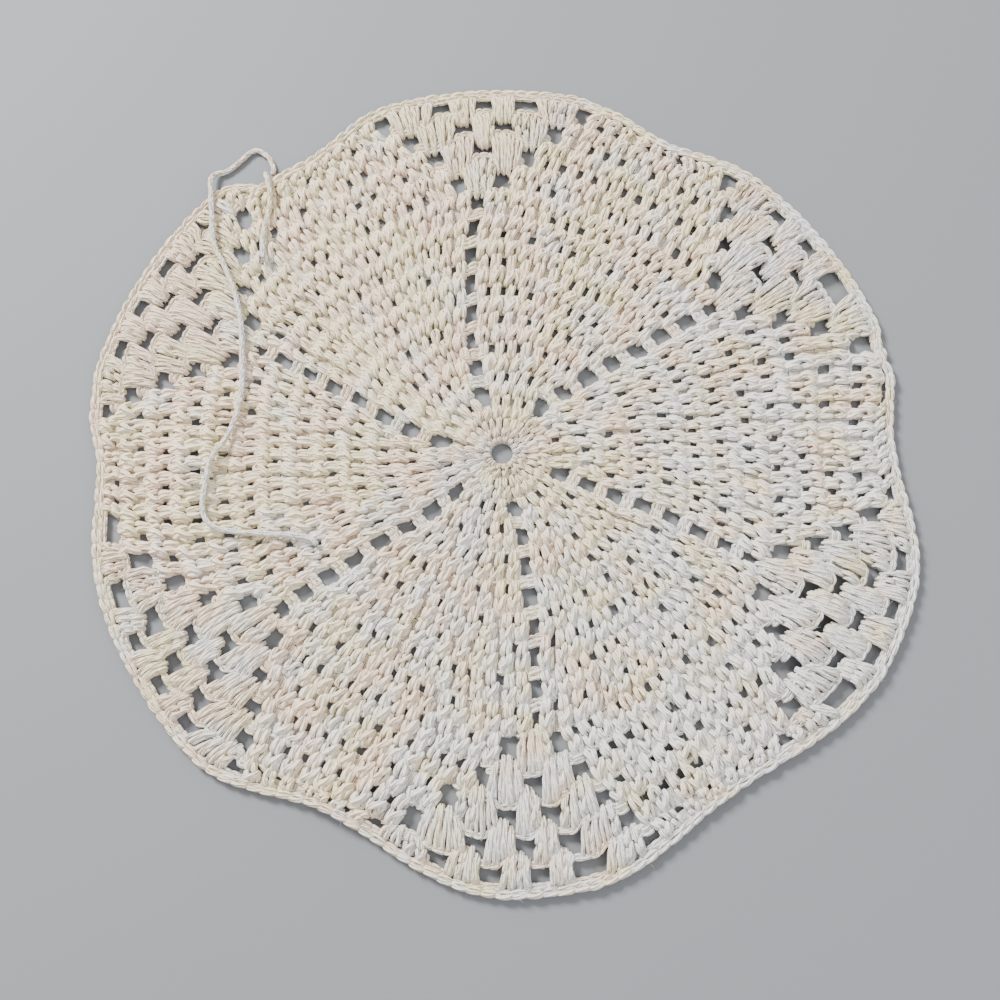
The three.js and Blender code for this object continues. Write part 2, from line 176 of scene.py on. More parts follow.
# How the strands of one tall stitch run: side of its middle in millimetres, share of its height, height above
# the underside in millimetres. The stitch hooks round the chain below it and ends under its own chain.
LEG_RIGHT = ((-0.55, -0.2, 0.7), (-0.7, -0.14, 1.4), (-0.8, 0.0, 1.9), (-1.05, 0.22, 2.55), (-0.9, 0.44, 1.9))
LEG_LEFT = ((0.45, -0.2, 0.7), (0.5, -0.14, 1.35), (0.5, 0.0, 1.85), (0.4, 0.2, 2.5), (0.3, 0.44, 1.9))
BAR = ((1.6, 0.32, 1.1), (1.45, 0.4, 2.3), (0.95, 0.53, 2.9), (0.1, 0.66, 2.95), (-0.75, 0.77, 2.4),
       (-1.2, 0.85, 1.3))
HEAD_RIGHT = ((-1.0, 0.42, 1.5), (-1.3, 0.58, 2.45), (-1.2, 0.76, 2.4), (-0.7, 0.93, 1.7), (-0.4, 1.04, 0.95))
HEAD_LEFT = ((0.6, 0.36, 1.6), (0.75, 0.52, 2.5), (0.65, 0.73, 2.45), (0.6, 0.92, 1.7), (0.5, 1.04, 0.95))
HEAD_SIDE = ((1.9, 0.4, 1.2), (1.9, 0.57, 2.1), (1.6, 0.76, 1.95), (1.2, 0.94, 1.1))
LOOP = ((2.1, 0.89, 0.95), (0.9, 0.92, 1.5), (-0.4, 0.96, 1.65), (-1.5, 0.98, 1.4), (-2.4, 0.93, 0.95))
LONG_RIGHT = ((-0.55, -0.2, 0.7), (-0.7, -0.15, 1.9), (-0.85, 0.0, 2.5), (-1.15, 0.3, 2.6), (-1.25, 0.6, 2.6),
              (-1.05, 0.86, 2.3), (-0.7, 1.04, 1.3))
LONG_LEFT = ((0.45, -0.2, 0.7), (0.5, -0.15, 1.9), (0.5, 0.0, 2.45), (0.45, 0.3, 2.65), (0.55, 0.6, 2.6),
             (0.75, 0.86, 2.3), (0.7, 1.04, 1.3))
LONG_SIDE = ((1.5, 0.1, 1.0), (1.6, 0.3, 1.9), (1.8, 0.55, 2.2), (1.9, 0.8, 2.1), (1.7, 1.0, 1.2))
BACK_ONE = ((-1.0, -0.06, 0.95), (-0.9, 0.25, 0.78), (0.2, 0.6, 0.75), (0.8, 0.98, 1.0))
BACK_TWO = ((0.9, 0.06, 0.95), (1.0, 0.4, 0.78), (0.3, 0.7, 0.75), (-0.8, 0.96, 1.0))

# Those strands in the order in which they are made: size against the yarn's, steps along, sides round, and
# which stitches have them. A straight stitch has no wrap across it, and a small one has fewer strands.
Part = namedtuple("Part", "shape size steps sides owners")
STITCH_PARTS = (
    Part(LONG_RIGHT, 1, 8, 5, "straight"),
    Part(LONG_LEFT, 1, 8, 5, "straight"),
    Part(LONG_SIDE, 0.9, 5, 5, "tall straight"),
    Part(LEG_RIGHT, 1, 6, 6, "wrapped"),
    Part(LEG_LEFT, 1, 6, 6, "wrapped"),
    Part(BAR, 1, 7, 6, "tall wrapped"),
    Part(HEAD_RIGHT, 0.95, 5, 6, "wrapped"),
    Part(HEAD_LEFT, 0.95, 5, 6, "wrapped"),
    Part(HEAD_SIDE, 0.85, 4, 6, "tall wrapped"),
    Part(LOOP, 0.8, 5, 4, "all"),
    Part(BACK_ONE, 0.8, 3, 4, "all"),
    Part(BACK_TWO, 0.8, 3, 4, "tall"),
)
STRAIGHT_SHARE = 0.6  # of a shell's stitches
LEAST_HEIGHT = 1.6  # no stitch fits a round that is lower than this
TALL_HEIGHT = 4.5  # from which height a stitch has all its strands
FREE_WIDTH = 4.6  # width at which a stitch isn't squeezed by its neighbours
SQUEEZE = (0.42, 1.15)  # the least and the most of the width that a stitch keeps
THINNING = (0.62, 1.06)  # the same for its yarn, before the power below
THINNING_POWER = 0.6

# How unevenly the yarn is worked, as spreads: aside and up in millimetres, along as a share of the length of
# a stitch or a link, and how much the yarn swells
Play = namedtuple("Play", "aside up along")
STITCH_PLAY = Play(0.28, 0.1, 0.02)
STRAND_PLAY = Play(0.22, 0.12, 0.02)
LINK_PLAY = Play(0.05, 0.06, 0.05)
STITCH_SWELL = 0.07
LINK_SWELL = 0.08

# One link of a chain: share of its length, side of its middle as a share of the chain's width, height
LINK_OUTER = ((-0.2, 0.03, 0.9), (0.12, 0.22, 1.75), (0.45, 0.26, 2.15), (0.85, 0.2, 2.1), (1.2, 0.03, 1.2))
LINK_INNER = (
    (-0.2, -0.03, 0.9), (0.12, -0.22, 1.55), (0.45, -0.26, 1.9), (0.85, -0.2, 1.9), (1.2, -0.03, 1.1)
)
LINK_SIZE = 0.27  # radius of its strands as a share of the chain's width

# The chains of the pattern: length of a link, width and how high the chain lies
Chain = namedtuple("Chain", "pitch width rise")
SPOKE_CHAIN = Chain(2.3, 2.3, -0.1)
FAN_CHAIN = Chain(2.9, 2.1, -0.1)
SHELL_CHAIN = Chain(2.9, 1.9, 0.25)
RING_CHAIN = Chain(2.6, 1.5, -0.3)
EDGE_CHAIN = Chain(4.2, BRAID, 0.0)
RIM_CHAINS = (-0.3,)  # how far outside the round's top the chains over a gap lie, at the rim
SHELL_CHAINS = (0.0,)  # between shells
SIDE_CHAINS = (-0.1, 1.5)  # and beside a sector, where there are two
CHAIN_OVERLAP = 0.6  # how far a chain runs on past its gap
CHAIN_REACH = 2.6  # and how much further on the outside of a fan
RING_CHAIN_ASIDE = 0.95

# Loose fibres: how many for each strand, their radius and how far they reach
FUZZ = 0.36
FIBRE = 0.055
FIBRE_REACH = (0.6, 1.6)

# The thin ground behind the stitches: shares of the round's height where it has points, distance from a gap,
# height above the underside, thickness, and the least height and width of its faces
GROUND_SHARES = (0.0, 0.32, 0.64, 0.97)
GROUND_MARGIN = 0.7
GROUND_HEIGHT = 1.3
GROUND_THICKNESS = 0.5
GROUND_LEAST_HEIGHT = 2.2
GROUND_LEAST_WIDTH = 0.02  # in stitches
SECTOR_OPENNESS = (0.65, 0.4, 0.75, 0.65, 0.6, 0.75)  # share of a sector's stitches with a hole at the foot

# The loose yarn: its plies, the length of one turn of theirs, how far they lie from its middle and their
# radius against its diameter, its tint, how far apart its points are, and its routes as in the CAD model
PLIES = 4
PLY_PITCH = 9.0
PLY_ASIDE = 0.2
PLY_RADIUS = 0.29
LOOSE_TINT = -1.2
YARN_STEP = 0.75
TAIL_ROUTE = (
    (-73.9, 94.6, 1.3), (-73.8, 97.2, 1.0), (-75.2, 100.4, 0.95), (-77.6, 102.8, 0.95), (-79.9, 103.7, 0.95),
    (-82.1, 102.5, 0.95), (-84.5, 99.9, 0.95), (-86.7, 97.7, 0.95), (-89.4, 95.6, 1.0), (-92.0, 94.8, 1.6),
    (-93.3, 91.8, 3.0), (-92.6, 86.7, 4.4), (-91.7, 79.7, 5.0), (-90.3, 68.5, 5.1), (-86.7, 60.9, 4.95),
    (-83.0, 52.3, 4.5), (-80.2, 41.2, 4.6), (-79.2, 29.9, 4.5), (-78.6, 20.5, 4.6), (-79.6, 12.1, 4.6),
    (-82.1, 4.2, 4.8), (-86.1, -3.0, 5.65), (-87.5, -12.0, 5.35), (-87.6, -19.0, 4.9), (-84.1, -23.6, 4.7),
    (-76.7, -25.1, 4.5), (-67.0, -25.7, 4.6), (-58.6, -26.3, 4.5), (-55.3, -27.5, 4.6), (-53.8, -29.0, 4.4),
)
END_ROUTE = (
    (-75.9, 94.4, 3.0), (-74.9, 91.3, 4.4), (-74.0, 87.9, 4.7), (-73.6, 84.4, 4.5), (-73.7, 81.3, 4.4),
    (-74.1, 77.5, 4.5), (-74.9, 73.4, 4.6), (-75.2, 68.4, 4.6), (-74.5, 63.2, 4.6),
)
TIP_FIBRES = 9
TIP_FIBRE = 0.16  # radius
TIP_TINT = 0.6

# The stage, in metres
CAMERA_AT = (0.0009, -0.1089, 0.3327)
CAMERA_FORWARD = (0.0, 0.2756, -0.9613)
CAMERA_LENS = 41.83
Lamp = namedtuple("Lamp", "name at size share")
LAMPS = (Lamp("window", (-0.75, 0.75, 0.85), 0.4, 1.0), Lamp("fill", (0.8, -0.5, 1.0), 1.2, 0.22))
FLOOR_SIZE = 3.0
COTTON = "soft_spun_cotton"
BLACK = (0.0, 0.0, 0.0, 1.0)
WHITE = (1.0, 1.0, 1.0, 1.0)
SKY = (0.93, 0.96, 1.0, 1.0)
COLOUR = {"size": 4, "min": 0.0, "max": 1.0, "subtype": "COLOR"}

# The lowest that a strand may reach, above the table, and the size of its ends against its middle
LOWEST = 0.02
TAPER = 0.6


def hump(distance):
    """1 at distance 0, falling smoothly to 0 at distance 1."""
    return 0.5 * (1 + np.cos(np.pi * np.clip(distance, -1, 1)))


def level(distance, flat, fall):
    """1 out to the distance flat, falling smoothly to 0 over the stretch fall beyond it."""
    return hump(np.maximum(np.abs(distance) - flat, 0) / fall)


def turn_apart(one, other):
    return abs((one - other + 180) % 360 - 180)


def mix(a, b, share):
    return a + (b - a) * share


def polar(angle, radius):
    turn = np.radians(angle)
    return np.stack([radius * np.cos(turn), radius * np.sin(turn)], axis=-1)


def degrees_of(length, radius):
    return math.degrees(length / radius)


# ---- The layout: edges of the rounds, and gaps ----


def direction_radius(direction, n):
    if n == ROUNDS:
        return direction.rim
    if n == ROUNDS - 1 and direction.lost:
        return direction.rim - BRAID
    return direction.first + direction.pitch * n + direction.growth * n * n


def neighbours(angle):
    """The spoke and the sector that an angle lies between, and the share of the way from spoke to sector."""
    for k, here in enumerate(DIRECTIONS):
        after = DIRECTIONS[(k + 1) % len(DIRECTIONS)]
        share = ((angle - here.angle) % 360) / ((after.angle - here.angle) % 360)
        if share <= 1:
            return (here, after, share) if here.spoke else (after, here, 1 - share)
    raise ValueError(f"no direction holds the angle {angle}")


def edge_radius(n, angle):
    """Radius of edge n at an angle; edges -2, -1 and 0 are the medallion's circles."""
    if n <= 0:
        return MEDALLION_RADII[n - FIRST_EDGE]
    spoke, sector, share = neighbours(angle)
    shelf = spoke.shelf * min(max((n - SPOKE_ROUNDS) / 4, 0), 1)
    weight = hump(max(0, (share - shelf) / (1 - shelf)))
    radius = mix(direction_radius(sector, n), direction_radius(spoke, n), weight)
    if n >= ROUNDS - 1:
        for notch in NOTCHES:
            depth = notch.depth * (1 if n == ROUNDS else 0.5)
            radius -= depth * hump(turn_apart(notch.angle, angle) / notch.half_width)
    if n < ROUNDS:
        radius += 0.3 * math.sin(math.radians(3 * angle) + 1.7 * n)
        radius += 0.25 * math.sin(math.radians(7 * angle) + 2.9 * n)
    return radius


GRID = np.arange(0, 360.01, 0.25)
EDGES = {n: np.array([edge_radius(n, a) for a in GRID]) for n in range(FIRST_EDGE, ROUNDS + 1)}


def edge(n, angle):
    return np.interp(angle % 360, GRID, EDGES[n])


def spoke_angle(spoke, radius):
    """A spoke's angle at a radius: the cubic through its four stated angles."""
    angles = (spoke.at18, spoke.at50, spoke.at85, spoke.at120)
    total = 0
    for i, angle in enumerate(angles):
        weight = 1
        for j, place in enumerate(PATH_RADII):
            if j != i:
                weight *= (radius - place) / (PATH_RADII[i] - place)
        total += weight * angle
    return total


def middle_of(direction, n):
    """Radius of the middle of round n along a direction."""
    return 0.5 * (direction_radius(direction, n - 1) + direction_radius(direction, n))


def spoke_gap(fan, direction, n):
    middle = middle_of(direction, n)
    angle = spoke_angle(direction.spoke, middle)
    inner, outer = edge(n - 1, angle), edge(n, angle)
    openness = SPOKE_OPENNESS[fan][n - 1]
    width = openness * mix(direction.spoke.near, direction.spoke.far, (n - 1) / (SPOKE_ROUNDS - 1))
    height = SPOKE_GAP_SHARE * (outer - inner) * mix(0.7, 1, openness)
    angle += degrees_of(SPOKE_WANDER * math.sin(2.2 * n + fan), middle)
    return Gap(n, 0, 0, False, angle, 0.5 * (inner + outer), width, height)


def gap_places(count):
    """Places of a fan row's gaps, from -1 at its clockwise side to 1."""
    step = 2 / (count - 3 + 2 * SIDE_SPACING)
    return [-1, *[-1 + step * (SIDE_SPACING + g) for g in range(count - 2)], 1]


def fan_gaps(fan, direction, row):
    n = SPOKE_ROUNDS + row
    centre = spoke_angle(direction.spoke, middle_of(direction, n))
    gaps = []
    for index, place in enumerate(gap_places(row + 1)):
        opening = direction.spoke.right if place < 0 else direction.spoke.left
        angle = centre + place * (FAN_FIRST_OPENING + opening * (row - 1))
        inner = 0 < index < row
        shape = INNER_GAP if inner else SIDE_GAP
        width, height = PULLED_GAPS.get((fan, row, index), (shape.width, shape.height))
        low = edge(n - 1, angle) + GAP_MARGIN
        high = edge(n, angle) - GAP_MARGIN - (BRAID if n == ROUNDS else 0)
        height = min(height, high - low)
        radius = min(max(0.5 * (low + high) + shape.shift, low + height / 2), high - height / 2)
        gaps.append(Gap(n, row, index, inner, angle, radius, width, height))
    return gaps


def fan_row(fan, n):
    """The gaps of one fan, or one spoke, in round n, clockwise side first."""
    direction = SPOKES[fan]
    if n <= SPOKE_ROUNDS:
        return [spoke_gap(fan, direction, n)]
    if n > ROUNDS - direction.lost:
        return []
    return fan_gaps(fan, direction, n - SPOKE_ROUNDS)


ROWS = [fan_row(fan, n) for n in range(1, ROUNDS + 1) for fan in range(len(SPOKES))]
ALL_GAPS = [gap for row in ROWS for gap in row if gap.width > 0]


def top_reach(n, angle):
    """Where the chain along the top of round n lies: its edge, pushed out under the next round's flat gaps
    and drawn in over the round's own gaps."""
    radius = edge(n, angle)
    if n <= 0:
        return radius
    if n == ROUNDS:
        return radius - BRAID
    out = np.zeros_like(radius)
    for gap in ALL_GAPS:
        if gap.round not in (n, n + 1):
            continue
        away = ((angle - gap.angle + 180) % 360 - 180) * math.radians(1) * gap.radius
        here = edge(n, gap.angle)
        if gap.round == n:
            share = FAN_DRAW if gap.row else SPOKE_DRAW
            rise = min(0.0, gap.radius + gap.height / 2 + CHAIN_CLEAR - here) * share
            out += rise * level(away, LEVEL_SHARE * gap.width, FALL_OVER)
        elif gap.inner:
            rise = max(0.0, gap.radius - gap.height / 2 - CHAIN_CLEAR - here)
            out += rise * level(away, LEVEL_SHARE * gap.width, FALL_UNDER)
    return radius + out


def lift(x, y):
    """How far the sheet is lifted off the table at a place."""
    height = 0
    for wave in WAVES:
        turn = math.radians(wave.turn)
        along = (x - wave.x) * math.cos(turn) + (y - wave.y) * math.sin(turn)
        across = (y - wave.y) * math.cos(turn) - (x - wave.x) * math.sin(turn)
        height = height + wave.height * hump(np.hypot(along / wave.half_length, across / wave.half_width))
    return height


def part_round_eyelets(places):
    """Moves points in plan out from the middle of each eyelet, the nearer the more."""
    for eyelet in EYELETS:
        middle = polar(eyelet.angle, eyelet.radius)
        away = places - middle
        distance = np.maximum(np.linalg.norm(away, axis=-1, keepdims=True), 0.05)
        push = 0.5 * eyelet.width * hump(distance / (EYELET_REACH * eyelet.width))
        places = places + push * away / distance
    return places


# ---- Where the stitches of a round stand, between two gaps ----


def half_turn(gap):
    return degrees_of(gap.width / 2, gap.radius)


class Run:
    """The stitches of one round between two gaps, counter-clockwise: start and end have an angle at each of
    SHARES."""

    def __init__(self, n, start, end, puff=0.0, count=None, circle=False, openness=0.0):
        self.round = n
        self.start = start
        self.end = end if end[3] > start[3] else tuple(angle + 360 for angle in end)
        self.puff = puff
        self.circle = circle
        self.openness = openness
        self.count = count or max(1, round(self.width(0.5) / STITCH_WIDTH))

    def sides(self, share):
        return np.interp(share, SHARES, self.start), np.interp(share, SHARES, self.end)

    def width(self, share):
        first, last = self.sides(share)
        middle = 0.5 * (first + last)
        radius = mix(edge(self.round - 1, middle), edge(self.round, middle), share)
        return (last - first) * math.radians(1) * radius

    def angle(self, across, share):
        """The angle so many stitches from the start: they lean evenly, and those by a gap bend round it."""
        first, last = mix(self.start[1], self.start[4], share), mix(self.end[1], self.end[4], share)
        start, end = self.sides(share)
        bend_first = (start - first) * np.exp(-np.maximum(across, 0) / BEND_REACH)
        bend_last = (end - last) * np.exp(-np.maximum(self.count - across, 0) / BEND_REACH)
        return first + (last - first) * across / self.count + bend_first + bend_last

    def place(self, across, share, height):
        """The point at so many stitches from the start, at a share of the round's height, this high."""
        angle = self.angle(across, share)
        low, high = top_reach(self.round - 1, angle), top_reach(self.round, angle)
        place = part_round_eyelets(polar(angle, low + (high - low) * share))
        height = height + self.puff * hump((share - 0.6) / 0.75) + lift(place[..., 0], place[..., 1])
        return np.concatenate([place, height[..., None]], axis=-1)

    def tall(self, across):
        """Height of the round at each of these stitches."""
        first, last = self.sides(0.5)
        angle = first + (last - first) * across / self.count
        return top_reach(self.round, angle) - top_reach(self.round - 1, angle)


def spoke_side(gap, below, side):
    """A sector's boundary beside a spoke's gap; side is 1 counter-clockwise of it."""
    foot = below.angle + side * degrees_of(SPOKE_FOOT, below.radius + FOOT_OUTSIDE)
    edge_of_gap = gap.angle + side * half_turn(gap)
    top = gap.angle + side * SPOKE_TOP * half_turn(gap)
    return (foot, foot, mix(foot, edge_of_gap, 0.6), edge_of_gap, top, top)


def fan_side(gap, opening, side):
    """A sector's boundary beside a fan's row, which leans as the fan opens."""
    edge_of_gap = gap.angle + side * half_turn(gap)
    return tuple(edge_of_gap + side * opening * lean for lean in FAN_LEAN)


def shell_side(gap, below, side):
    """A shell's boundary: it stands in the gap below and opens out to the gap beside it."""
    edge_of_gap = gap.angle - side * SHELL_EDGE * half_turn(gap)
    foot = below.angle + side * degrees_of(SHELL_FOOT, below.radius + FOOT_OUTSIDE)
    foot = mix(foot, edge_of_gap, 0.6)
    top = gap.angle - side * SHELL_TOP * half_turn(gap)
    return (foot, foot, mix(foot, edge_of_gap, 0.8), edge_of_gap, top, top)


def sector_side(fan, n, side):
    """A sector's boundary beside a spoke and its fan; side is 1 counter-clockwise of them."""
    row = fan_row(fan, n)
    if not row:
        return (SPOKES[fan].angle,) * len(SHARES)
    gap = row[-1] if side > 0 else row[0]
    if n <= SPOKE_ROUNDS:
        return spoke_side(gap, fan_row(fan, n - 1)[0] if n > 1 else gap, side)
    spoke = SPOKES[fan].spoke
    return fan_side(gap, spoke.left if side > 0 else spoke.right, side)


def sector_run(sector, n):
    """The stitches of round n in the sector that follows one spoke."""
    start, end = sector_side(sector, n, 1), sector_side((sector + 1) % len(SPOKES), n, -1)
    count = SECTOR_STITCHES[n - 1] if n < ROUNDS else None
    return Run(n, start, end, count=count, openness=SECTOR_OPENNESS[sector])


def shell_runs(fan, n):
    row, below = fan_row(fan, n), fan_row(fan, n - 1)
    runs = []
    for k in range(1, len(row)):
        start, end = shell_side(row[k - 1], below[k - 1], -1), shell_side(row[k], below[k - 1], 1)
        runs.append(Run(n, start, end, puff=SHELL_PUFF, count=SHELL_STITCHES))
    return runs


def medallion_run(tier):
    return Run(tier.round, (0.0,) * len(SHARES), (360.0,) * len(SHARES), count=tier.stitches, circle=True)


def all_runs():
    runs = [medallion_run(tier) for tier in TIERS]
    for n in range(1, ROUNDS + 1):
        for k in range(len(SPOKES)):
            runs.append(sector_run(k, n))
            if n > SPOKE_ROUNDS:
                runs.extend(shell_runs(k, n))
    return runs


# ---- Yarn ----


class Strands:
    """Round strands of yarn gathered into one mesh, with their length and their way round as a UV map."""

    def __init__(self, seed):
        self.chance = np.random.default_rng(seed)
        self.lines = []

    def add(self, control, radius, steps, sides, tint):
        """A strand along each row of control, an array of strands by points by three, in millimetres."""
        lines = smooth_lines(control, steps)
        size = np.broadcast_to(np.asarray(radius, dtype=float).reshape(-1, 1), lines.shape[:2]).copy()
        size[:, [0, -1]] *= TAPER
        self.lines.append((lines, size, sides, np.broadcast_to(tint, len(lines))))

    def mesh(self, name):
        places, loops, totals, yarn_uv, tints = [], [], [], [], []
        first = 0
        for lines, size, sides, tint in self.lines:
            many, steps = lines.shape[:2]
            places.append(tube_rings(lines, size, sides).reshape(-1, 3))
            ring = np.arange(sides)
            after = (ring + 1) % sides
            step = np.arange(steps - 1)[:, None] * sides
            wall = np.stack([step + ring, step + after, step + sides + after, step + sides + ring], axis=-1)
            offset = first + np.arange(many)[:, None] * steps * sides
            walls = (offset + wall.ravel()).ravel()
            foot = (offset + ring[::-1]).ravel()
            head = (offset + (steps - 1) * sides + ring).ravel()
            loops += [walls, foot, head]
            totals += [np.full(walls.size // 4, 4), np.full(2 * many, sides)]
            along = np.cumsum(np.linalg.norm(np.diff(lines, axis=1, prepend=lines[:, :1]), axis=-1), axis=1)
            along = along + self.chance.uniform(0, 40, (many, 1))
            u = np.stack([along[:, :-1], along[:, :-1], along[:, 1:], along[:, 1:]], axis=-1)[:, :, None]
            v = np.stack([ring, ring + 1, ring + 1, ring], axis=-1) / sides
            yarn_uv.append(np.stack(np.broadcast_arrays(u, v), axis=-1).reshape(-1, 2))
            for end in (0, -1):
                cap = np.broadcast_arrays(along[:, end, None], ring / sides)
                yarn_uv.append(np.stack(cap, axis=-1).reshape(-1, 2))
            tints.append(np.repeat(tint, steps * sides))
            first += many * steps * sides
        places = np.concatenate(places) + (*RING_AT, 0)
        places[:, 2] = np.maximum(places[:, 2], LOWEST)
        loops, totals, yarn_uv, tints = map(np.concatenate, (loops, totals, yarn_uv, tints))
        return new_mesh(name, places * MM, loops, totals, yarn_uv, tints)


def smooth_lines(control, steps):
    """Curves through the points of each row, sampled at even shares."""
    share = np.linspace(0, control.shape[1] - 1, steps + 1)
    at = np.clip(share.astype(int), 0, control.shape[1] - 2)
    f = (share - at)[None, :, None]
    before = 2 * control[:, :1] - control[:, 1:2]
    beyond = 2 * control[:, -1:] - control[:, -2:-1]
    padded = np.concatenate([before, control, beyond], axis=1)
    a, b, c, d = (padded[:, at + shift] for shift in range(4))
    return 0.5 * (2 * b + (c - a) * f + (2 * a - 5 * b + 4 * c - d) * f**2 + (3 * b - a - 3 * c + d) * f**3)


def unit(vectors):
    return vectors / np.maximum(np.linalg.norm(vectors, axis=-1, keepdims=True), 1e-9)


def across_lines(lines):
    """Two directions across each line at each of its points, carried along it without a twist."""
    tangent = unit(np.gradient(lines, axis=1))
    side = unit(np.cross(tangent[:, 0], ASLANT))
    sides = []
    for i in range(lines.shape[1]):
        side = unit(side - tangent[:, i] * np.sum(side * tangent[:, i], axis=-1, keepdims=True))
        sides.append(side)
    sides = np.stack(sides, axis=1)
    return sides, np.cross(tangent, sides)


def tube_rings(lines, size, sides):
    """The rings of points round each line."""
    side, other = across_lines(lines)
    turn = 2 * np.pi * np.arange(sides)[:, None] / sides
    spread = np.cos(turn) * side[:, :, None] + np.sin(turn) * other[:, :, None]
    return lines[:, :, None] + spread * size[:, :, None, None]


def new_mesh(name, places, loops, totals, yarn_uv, tint):
    """A mesh of these points and faces; totals holds the number of corners of each face."""
    mesh = bpy.data.meshes.new(name)
    mesh.vertices.add(len(places))
    mesh.vertices.foreach_set("co", places.astype(np.float32).ravel())
    mesh.loops.add(len(loops))
    mesh.loops.foreach_set("vertex_index", loops.astype(np.int32))
    mesh.polygons.add(len(totals))
    mesh.polygons.foreach_set("loop_start", (np.cumsum(totals) - totals).astype(np.int32))
    mesh.uv_layers.new(name="yarn").data.foreach_set("uv", yarn_uv.astype(np.float32).ravel())
    mesh.attributes.new("tint", "FLOAT", "POINT").data.foreach_set("value", tint.astype(np.float32))
    mesh.update(calc_edges=True)
    mesh.validate()
    mesh.shade_smooth()
    return mesh


def add_fibres(strands, many):
    """Loose fibres that stand off the yarn."""
    chance = strands.chance
    for lines, size, sides, tint in list(strands.lines):
        count = max(1, round(many * len(lines)))
        which = chance.integers(0, len(lines), count)
        at = chance.integers(1, lines.shape[1] - 1, count)
        root = lines[which, at]
        ahead = unit(lines[which, at + 1] - lines[which, at - 1])
        aside = unit(chance.normal(0, 1, (count, 3)) + 0.7 * UP)
        reach = chance.uniform(*FIBRE_REACH, (count, 1))
        root = root + aside * size[which, at][:, None] * 0.9
        root[:, 2] = np.maximum(root[:, 2], 0.3)
        curl = chance.normal(0, 0.35, (count, 3))
        middle = root + reach * (0.6 * ahead + 0.28 * aside)
        tip = root + reach * (ahead + 0.5 * aside + curl)
        tip[:, 2] = np.maximum(tip[:, 2], 0.2)
        strands.add(np.stack([root - 0.2 * aside, middle, tip], axis=1), FIBRE, 3, 3, tint[which])


def stitch_strands(strands, run, yarn, small=1.0):
    """Every tall stitch of a run, strand by strand, as STITCH_PARTS lists them."""
    number = np.arange(run.count)
    tall = run.tall(number + 0.5)
    number, tall = number[tall > LEAST_HEIGHT], tall[tall > LEAST_HEIGHT]
    many = len(number)
    if not many:
        return
    chance = strands.chance
    shift = chance.normal(0, STITCH_PLAY.aside, many)
    rise = chance.normal(0, STITCH_PLAY.up, many)
    slip = chance.normal(0, STITCH_PLAY.along, many)
    lowest = 0.1 if run.round < 0 else -0.3
    tint = chance.uniform(0, 1, many)
    plump = chance.normal(1, STITCH_SWELL, many)
    full = tall > TALL_HEIGHT * small
    straight = chance.uniform(0, 1, many) < (STRAIGHT_SHARE if run.puff else 0)
    owners = {
        "all": np.ones(many, dtype=bool), "tall": full, "straight": straight, "wrapped": ~straight,
        "tall straight": straight & full, "tall wrapped": ~straight & full,
    }
    for part in STITCH_PARTS:
        chosen = owners[part.owners]
        side, share, height = np.transpose(part.shape)
        who, radius = number[chosen], part.size * yarn
        if not len(who):
            continue
        size = (len(who), len(side))
        across_mm = side * small + shift[chosen, None] + chance.normal(0, STRAND_PLAY.aside, size)
        share = np.maximum(share + slip[chosen, None] + chance.normal(0, STRAND_PLAY.along, size), lowest)
        cell = np.maximum(run.width(np.clip(share, 0, 1)) / run.count, 0.8)
        squeeze = np.clip(cell / (FREE_WIDTH * small), *SQUEEZE)
        height = height + rise[chosen, None] + chance.normal(0, STRAND_PLAY.up, size)
        height = np.maximum(height, radius + LOWEST)
        across = who[:, None] + 0.5 + across_mm * squeeze / cell
        control = run.place(across, share, height)
        thin = np.clip(squeeze.mean(axis=1), *THINNING) ** THINNING_POWER
        shade = tint[chosen] * 0.7 + 0.3 * chance.uniform(0, 1, len(who))
        strands.add(control, radius * plump[chosen] * thin, part.steps, part.sides, shade)


def chain_strands(strands, radius_at, start, end, chain, closed=False):
    """A chain along a curve that is stated by its radius at each angle, a link about every pitch."""
    fine = np.linspace(start, end, max(16, int((end - start) * 2)))
    line = polar(fine, radius_at(fine))
    length = np.concatenate([[0], np.cumsum(np.linalg.norm(np.diff(line, axis=0), axis=1))])
    links = max(1, round(length[-1] / chain.pitch))
    step = length[-1] / links
    chance = strands.chance
    stretch = chance.normal(0, 0 if links < 4 else LINK_PLAY.along, links)
    for shape in (LINK_OUTER, LINK_INNER):
        share, side, height = np.transpose(shape)
        along = (np.arange(links)[:, None] + stretch[:, None] + share) * step
        if closed:
            along = along % length[-1]
        angle = np.interp(along, length, fine)
        outside = (along - np.clip(along, 0, length[-1])) / radius_at(angle)
        aside = side * chain.width * chance.normal(1, LINK_SWELL, (links, 1))
        reach = radius_at(angle) + aside + chance.normal(0, LINK_PLAY.aside, along.shape)
        place = polar(angle + np.degrees(outside), reach)
        height = height + chain.rise + chance.normal(0, LINK_PLAY.up, along.shape)
        height += lift(place[..., 0], place[..., 1])
        control = np.concatenate([place, height[..., None]], axis=-1)
        radius = LINK_SIZE * chain.width * chance.normal(1, LINK_SWELL, (links, 1))
        strands.add(control, radius, 7, 6, chance.uniform(0.2, 0.9, links))


def chain_places(gap):
    if gap.round == ROUNDS:
        return RIM_CHAINS
    return SHELL_CHAINS if gap.inner else SIDE_CHAINS


def gap_chains(strands, gaps):
    """The chains over each gap, which the next round is worked into."""
    for gap in gaps:
        if gap.width > 0:
            reach = half_turn(gap) + degrees_of(CHAIN_OVERLAP, gap.radius)
            further = degrees_of(CHAIN_REACH, gap.radius)
            start = gap.angle - reach - (further if gap.row and gap.index == 0 else 0)
            end = gap.angle + reach + (further if gap.row and gap.index == gap.row else 0)
            chain = FAN_CHAIN if gap.row else SPOKE_CHAIN
            for aside in chain_places(gap):
                chain_strands(strands, lambda a: top_reach(gap.round, a) + aside, start, end, chain)


